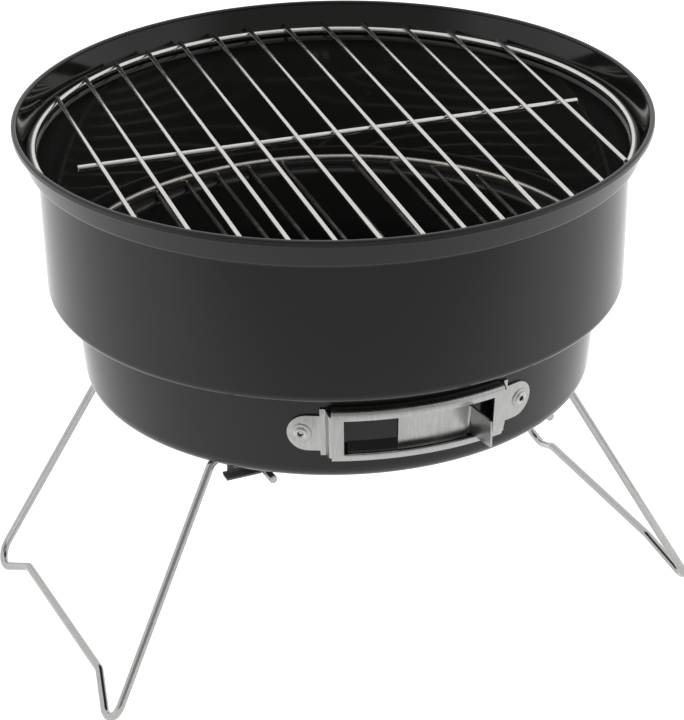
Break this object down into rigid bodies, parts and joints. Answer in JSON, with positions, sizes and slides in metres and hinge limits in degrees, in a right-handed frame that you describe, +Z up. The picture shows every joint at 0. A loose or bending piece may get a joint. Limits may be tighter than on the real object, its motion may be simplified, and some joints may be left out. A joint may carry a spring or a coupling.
{
  "type": "portable tabletop charcoal grill",
  "caption": "Round black bowl with a charcoal grate, a lift-off cooking grate, an air damper at the front and folding wire legs.",
  "frame": {"origin": "on the ground, below the axis of the round bowl, at the centre of the outline", "axes": "+Z up along the bowl's axis; the legs stand at -X and +X; the vent with its damper is at the front, close to -Y"},
  "size_m": [0.2728, 0.265, 0.2213],
  "materials": {
    "black_enamel": "glossy black enamel on steel sheet",
    "black_paint": "black paint, satin",
    "galvanised_sheet": "bright galvanised sheet with a faint brushed grain",
    "rivet_aluminium": "satin",
    "leg_chrome": "bright chrome on round wire",
    "charcoal_wire": "bright plated wire, slightly warm",
    "nickel_wire": "bright nickel plated wire"
  },
  "bodies": {
    "bowl": {"bowl": "black_enamel", "vent_frame": "galvanised_sheet", "damper_rail_bottom": "galvanised_sheet", "damper_rail_top": "galvanised_sheet", "vent_rivets": "rivet_aluminium", "leg_bracket_front_left": "black_paint", "leg_bracket_front_right": "black_paint", "leg_bracket_rear_left": "black_paint", "leg_bracket_rear_right": "black_paint", "bracket_rivets": "rivet_aluminium"},
    "damper": {"damper": "galvanised_sheet"},
    "left_leg": {"left_leg": "leg_chrome"},
    "right_leg": {"right_leg": "leg_chrome"},
    "charcoal_grate": {"charcoal_grate_ring": "charcoal_wire", "charcoal_grate_cross_rod": "charcoal_wire", "charcoal_grate_rod_01": "charcoal_wire", "charcoal_grate_rod_02": "charcoal_wire", "charcoal_grate_rod_03": "charcoal_wire", "charcoal_grate_rod_04": "charcoal_wire", "charcoal_grate_rod_05": "charcoal_wire", "charcoal_grate_rod_06": "charcoal_wire", "charcoal_grate_rod_07": "charcoal_wire", "charcoal_grate_rod_08": "charcoal_wire", "charcoal_grate_rod_09": "charcoal_wire", "charcoal_grate_rod_10": "charcoal_wire", "charcoal_grate_rod_11": "charcoal_wire", "charcoal_grate_rod_12": "charcoal_wire", "charcoal_grate_rod_13": "charcoal_wire"},
    "cooking_grate": {"cooking_grate_ring": "nickel_wire", "cooking_grate_cross_bar": "nickel_wire", "cooking_grate_bar_01": "nickel_wire", "cooking_grate_bar_02": "nickel_wire", "cooking_grate_bar_03": "nickel_wire", "cooking_grate_bar_04": "nickel_wire", "cooking_grate_bar_05": "nickel_wire", "cooking_grate_bar_06": "nickel_wire", "cooking_grate_bar_07": "nickel_wire", "cooking_grate_bar_08": "nickel_wire", "cooking_grate_bar_09": "nickel_wire", "cooking_grate_bar_10": "nickel_wire", "cooking_grate_bar_11": "nickel_wire", "cooking_grate_bar_12": "nickel_wire", "cooking_grate_bar_13": "nickel_wire"}
  },
  "joints": [
    {"name": "left_leg_fold", "type": "hinge", "parent": "bowl", "child": "left_leg", "pos_m": [-0.0625, 0, 0.10085], "axis": [0, -1, 0], "range_deg": [0, 122]},
    {"name": "right_leg_fold", "type": "hinge", "parent": "bowl", "child": "right_leg", "pos_m": [0.0625, 0, 0.10085], "axis": [0, 1, 0], "range_deg": [0, 114]},
    {"name": "damper_slide", "type": "hinge", "parent": "bowl", "child": "damper", "pos_m": [0, 0, 0.1284], "axis": [0, 0, 1], "range_deg": [-11, 3.8]},
    {"name": "charcoal_grate_lift", "type": "slide", "parent": "bowl", "child": "charcoal_grate", "axis": [0, 0, 1], "range_m": [0, 0.09]},
    {"name": "cooking_grate_lift", "type": "slide", "parent": "charcoal_grate", "child": "cooking_grate", "axis": [0, 0, 1], "range_m": [0, 0.06]}
  ]
}
